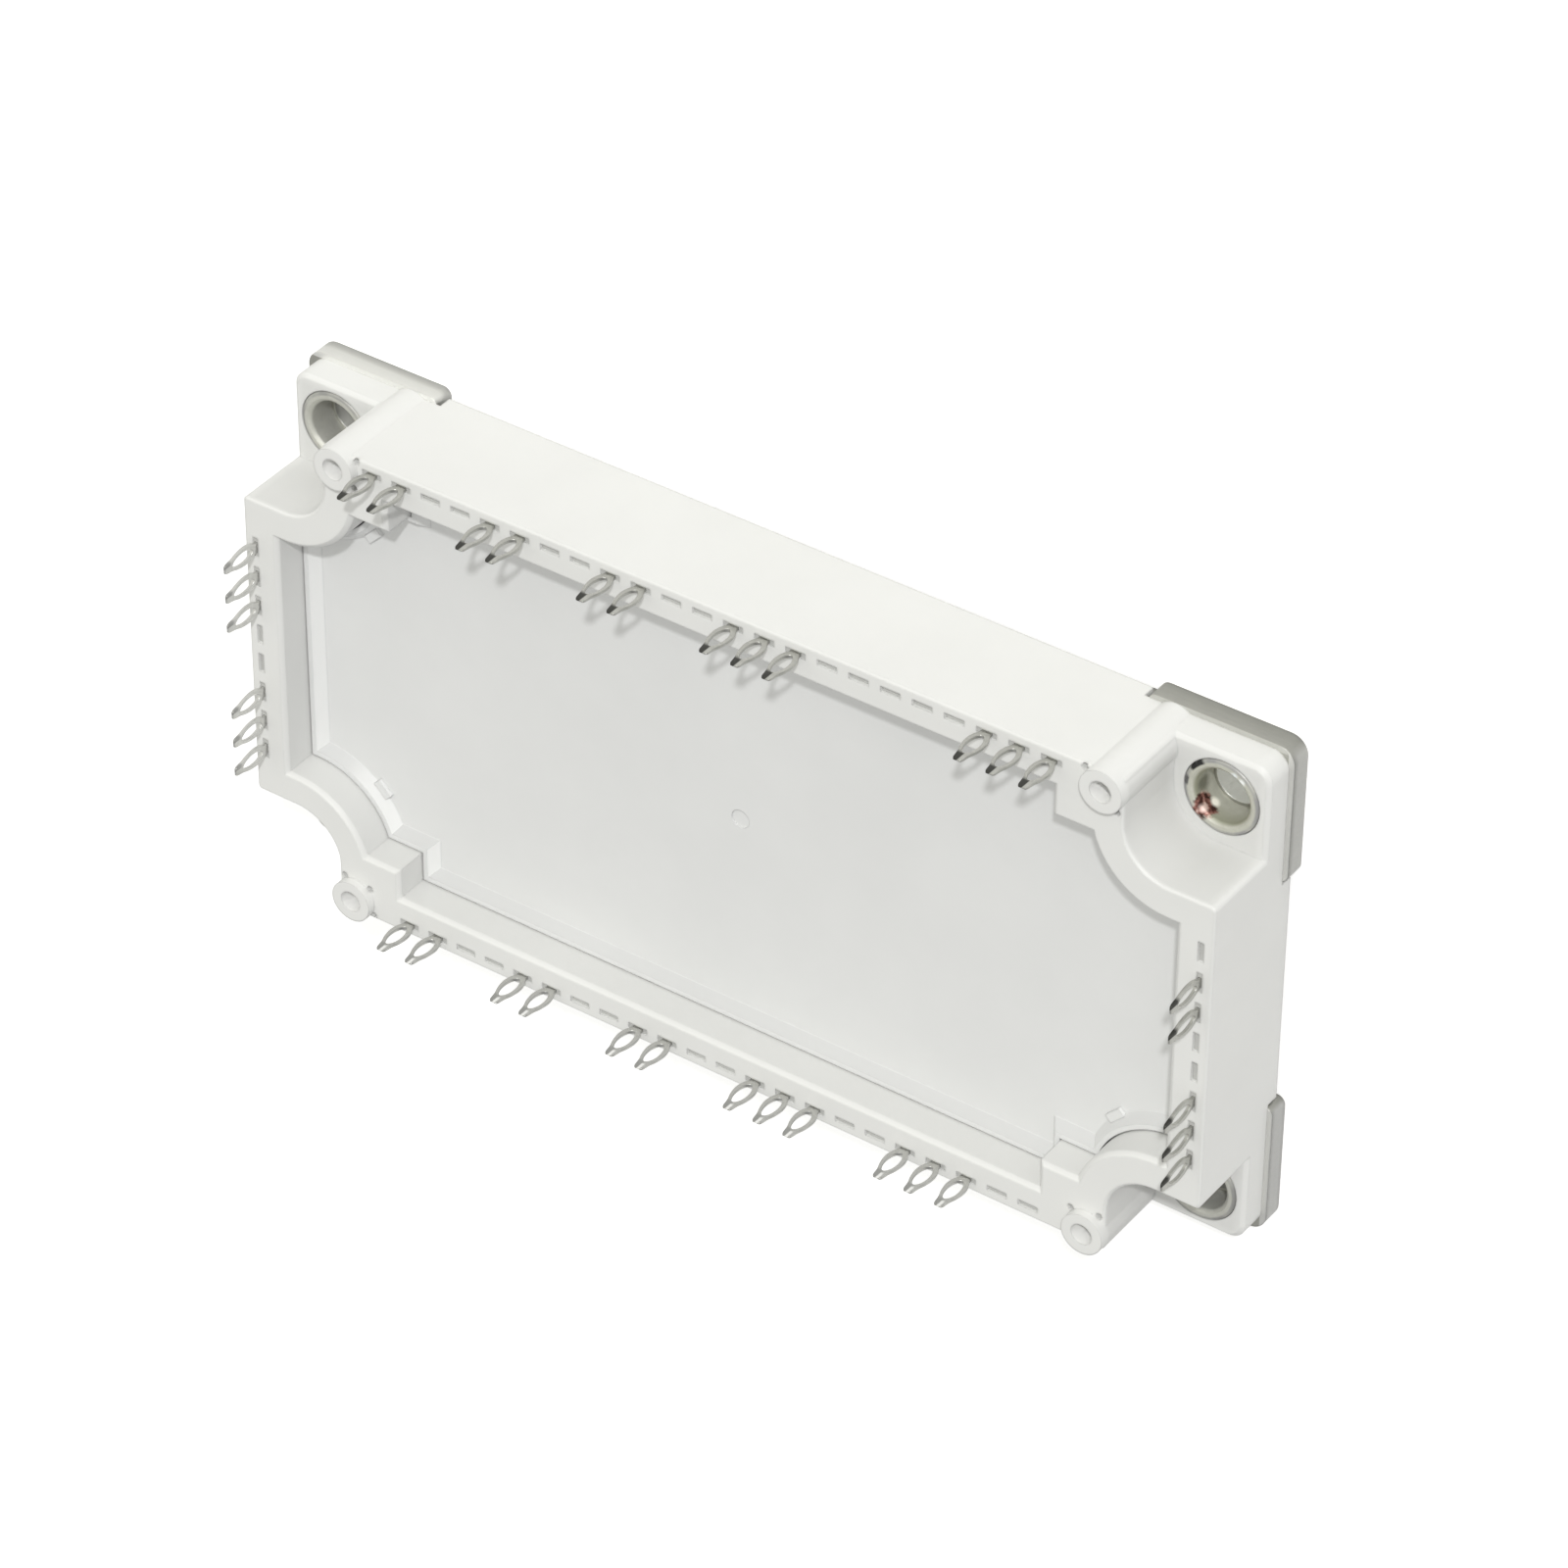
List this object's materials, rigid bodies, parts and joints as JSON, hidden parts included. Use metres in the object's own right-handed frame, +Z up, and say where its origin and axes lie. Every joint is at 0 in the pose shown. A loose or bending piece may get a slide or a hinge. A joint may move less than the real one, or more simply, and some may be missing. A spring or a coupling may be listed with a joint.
{
  "type": "power semiconductor module",
  "caption": "Flat rectangular power module in a white moulded frame with a recessed cover, metal base plate with corner holes, and upright press-fit pins with eyes along all sides.",
  "frame": {"origin": "centre of the flat underside of the metal base plate", "axes": "+X along the long side, +Y across towards the long side called back, +Z up from the base plate along the pins"},
  "size_m": [0.122, 0.062, 0.0205],
  "materials": {
    "nickel_plate": "nickel-plated, fine rolled grain, satin",
    "frame_plastic": "white moulded thermoplastic with a faint mould texture",
    "cover_plastic": "white moulded thermoplastic, slightly cooler than the frame",
    "sleeve_metal": "turned ring, plated",
    "pin_metal": "tin-plated stamped sheet",
    "solder": "dull solder",
    "copper": "bare copper, satin",
    "ceramic": "white sintered ceramic",
    "silicon": "metallised chip face",
    "sensor_body": "dark sensor body",
    "aluminium_wire": "drawn wire"
  },
  "bodies": {
    "root": {"base_plate": "nickel_plate", "bond_wires": "aluminium_wire", "ceramic_1": "ceramic", "ceramic_2": "ceramic", "ceramic_3": "ceramic", "copper_tracks_1": "copper", "copper_tracks_2": "copper", "copper_tracks_3": "copper", "cover": "cover_plastic", "diode_chips": "silicon", "housing_frame": "frame_plastic", "lower_copper_1": "copper", "lower_copper_2": "copper", "lower_copper_3": "copper", "pin_back_01": "pin_metal", "pin_back_02": "pin_metal", "pin_back_03": "pin_metal", "pin_back_04": "pin_metal", "pin_back_05": "pin_metal", "pin_back_06": "pin_metal", "pin_back_07": "pin_metal", "pin_back_08": "pin_metal", "pin_back_09": "pin_metal", "pin_back_10": "pin_metal", "pin_back_11": "pin_metal", "pin_back_12": "pin_metal", "pin_front_01": "pin_metal", "pin_front_02": "pin_metal", "pin_front_03": "pin_metal", "pin_front_04": "pin_metal", "pin_front_05": "pin_metal", "pin_front_06": "pin_metal", "pin_front_07": "pin_metal", "pin_front_08": "pin_metal", "pin_front_09": "pin_metal", "pin_front_10": "pin_metal", "pin_front_11": "pin_metal", "pin_front_12": "pin_metal", "pin_left_01": "pin_metal", "pin_left_02": "pin_metal", "pin_left_03": "pin_metal", "pin_left_04": "pin_metal", "pin_left_05": "pin_metal", "pin_left_06": "pin_metal", "pin_right_01": "pin_metal", "pin_right_02": "pin_metal", "pin_right_03": "pin_metal", "pin_right_04": "pin_metal", "pin_right_05": "pin_metal", "sleeve_back_left": "sleeve_metal", "sleeve_back_right": "sleeve_metal", "sleeve_front_left": "sleeve_metal", "sleeve_front_right": "sleeve_metal", "solder_layers": "solder", "temperature_sensor": "sensor_body", "transistor_chips": "silicon"}
  },
  "joints": []
}
